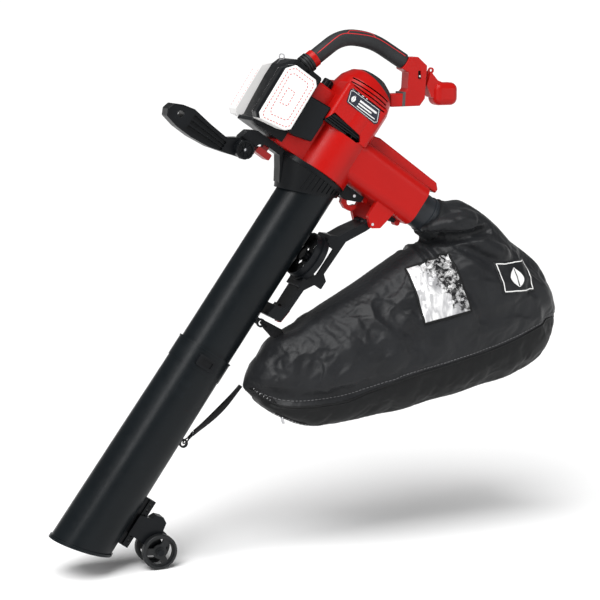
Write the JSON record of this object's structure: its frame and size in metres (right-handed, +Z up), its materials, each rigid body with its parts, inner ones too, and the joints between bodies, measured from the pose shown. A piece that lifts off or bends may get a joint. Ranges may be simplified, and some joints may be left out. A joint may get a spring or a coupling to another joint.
{
  "type": "leaf vacuum mulcher",
  "caption": "Cordless hand-held leaf vacuum and mulcher: leaning two-part suction tube with guide wheels, fan housing, arched grip, slide-on packs and a hung collecting bag.",
  "frame": {"origin": "middle of the straight part of the arched grip, on its axis", "axes": "+Z up, +X from the front handle towards the collecting bag, +Y across, with the suction tube leaning forward as it is held"},
  "size_m": [1.1531, 0.2518, 1.1007],
  "materials": {
    "tube_black": "fine moulded texture",
    "trim_black": "fine moulded texture",
    "pipe_grey": "satin",
    "housing_red": "satin gloss",
    "latch_red": "satin",
    "grip_rubber": "matt",
    "boot_rubber": "matt",
    "band_grey": "matt",
    "plate_dark": "gloss",
    "pack_white": "matt",
    "steel": "bright",
    "blade_steel": "ground",
    "motor_metal": "cast",
    "board_green": "solder mask",
    "seal_foam": "foam",
    "bag_fabric": "woven polyester",
    "webbing": "woven webbing",
    "tyre_rubber": "matt"
  },
  "bodies": {
    "machine": {"bag_body": "bag_fabric", "bag_collar": "boot_rubber", "bag_strap": "webbing", "battery_holder": "trim_black", "bearing_deck": "trim_black", "bracket_left": "housing_red", "bracket_right": "housing_red", "collar_clips": "trim_black", "controller_board": "board_green", "funnel_adapter": "trim_black", "grip_ring": "housing_red", "grip_sleeve": "grip_rubber", "handle_bellows": "boot_rubber", "handle_left": "trim_black", "handle_right": "trim_black", "hinge_pins": "steel", "housing_left": "housing_red", "housing_right": "housing_red", "housing_screws": "steel", "intake_seal": "seal_foam", "motor_cap": "grip_rubber", "motor_stator": "motor_metal", "nameplate": "plate_dark", "outlet_clip": "trim_black", "outlet_pipe": "pipe_grey", "rear_pod": "housing_red", "seam_band": "band_grey", "shaft_bearings": "steel", "side_louvres": "trim_black", "snap_hooks": "trim_black", "strap_eye_front": "steel", "suction_tube_lower": "tube_black", "suction_tube_upper": "tube_black", "switch_block": "trim_black", "vent_screen": "trim_black", "wheel_rail": "trim_black"},
    "aux_handle": {"aux_handle": "trim_black", "clamp_bolt": "steel"},
    "clamp_knob": {"clamp_knob": "trim_black"},
    "front_latch": {"front_latch": "latch_red"},
    "release_lever": {"release_lever": "housing_red"},
    "intake_cover": {"intake_cover": "trim_black", "cover_bowl": "trim_black", "cover_latch_pin": "steel"},
    "cover_latch": {"cover_latch": "latch_red"},
    "speed_dial": {"speed_dial": "trim_black"},
    "power_switch": {"power_switch": "trim_black"},
    "battery_left": {"battery_left": "pack_white"},
    "battery_right": {"battery_right": "pack_white"},
    "battery_button_left": {"battery_button_left": "latch_red"},
    "battery_button_right": {"battery_button_right": "latch_red"},
    "rotor": {"motor_rotor": "motor_metal", "impeller": "trim_black", "mulching_blade": "blade_steel", "blade_nut": "steel"},
    "wheel_carrier": {"wheel_carrier": "trim_black", "wheel_axle": "steel", "axle_caps": "trim_black"},
    "wheel_left": {"wheel_left": "tyre_rubber"},
    "wheel_right": {"wheel_right": "tyre_rubber"}
  },
  "joints": [
    {"name": "aux_handle_tilt", "type": "hinge", "parent": "machine", "child": "aux_handle", "pos_m": [-0.34551, 0, -0.18513], "axis": [0, 1, 0], "range_deg": [-45, 10]},
    {"name": "clamp_knob_turn", "type": "hinge", "parent": "aux_handle", "child": "clamp_knob", "pos_m": [-0.34551, 0, -0.18513], "axis": [0, -1, 0], "continuous": true},
    {"name": "front_latch_press", "type": "slide", "parent": "machine", "child": "front_latch", "axis": [0.5779, 0, 0.8161], "range_m": [0, 0.004], "stiffness_N_per_m": 400, "springref_m": -0.002},
    {"name": "release_lever_pull", "type": "hinge", "parent": "machine", "child": "release_lever", "pos_m": [-0.09408, 0, -0.29209], "axis": [0, 1, 0], "range_deg": [0, 16], "stiffness_Nm_per_rad": 0.3, "springref_deg": -11.46},
    {"name": "intake_cover_swing", "type": "hinge", "parent": "machine", "child": "intake_cover", "pos_m": [-0.06629, 0, -0.34975], "axis": [0, -1, 0], "range_deg": [0, 6]},
    {"name": "cover_latch_press", "type": "hinge", "parent": "intake_cover", "child": "cover_latch", "pos_m": [-0.25411, 0, -0.52676], "axis": [0, 1, 0], "range_deg": [0, 10], "stiffness_Nm_per_rad": 0.2, "springref_deg": -11.46},
    {"name": "speed_dial_turn", "type": "hinge", "parent": "machine", "child": "speed_dial", "pos_m": [-0.15247, 0, -0.0596], "axis": [0.5779, 0, 0.8161], "range_deg": [-135, 135]},
    {"name": "power_switch_slide", "type": "slide", "parent": "machine", "child": "power_switch", "axis": [0, 0, 1], "range_m": [0, 0.006]},
    {"name": "battery_left_slide", "type": "slide", "parent": "machine", "child": "battery_left", "axis": [0.5779, 0, 0.8161], "range_m": [0, 0.11]},
    {"name": "battery_right_slide", "type": "slide", "parent": "machine", "child": "battery_right", "axis": [0.5779, 0, 0.8161], "range_m": [0, 0.11]},
    {"name": "battery_left_release", "type": "slide", "parent": "battery_left", "child": "battery_button_left", "axis": [-0.5779, 0, -0.8161], "range_m": [0, 0.003], "stiffness_N_per_m": 300, "springref_m": -0.002},
    {"name": "battery_right_release", "type": "slide", "parent": "battery_right", "child": "battery_button_right", "axis": [-0.5779, 0, -0.8161], "range_m": [0, 0.003], "stiffness_N_per_m": 300, "springref_m": -0.002},
    {"name": "rotor_spin", "type": "hinge", "parent": "machine", "child": "rotor", "pos_m": [-0.14007, 0, -0.19091], "axis": [0.5779, 0, 0.8161], "continuous": true},
    {"name": "wheel_carrier_slide", "type": "slide", "parent": "machine", "child": "wheel_carrier", "axis": [0.5779, 0, 0.8161], "range_m": [-0.024, 0.036]},
    {"name": "wheel_left_spin", "type": "hinge", "parent": "wheel_carrier", "child": "wheel_left", "pos_m": [-0.53595, 0, -1.0103], "axis": [0, 1, 0], "continuous": true},
    {"name": "wheel_right_spin", "type": "hinge", "parent": "wheel_carrier", "child": "wheel_right", "pos_m": [-0.53595, 0, -1.0103], "axis": [0, 1, 0], "continuous": true}
  ]
}
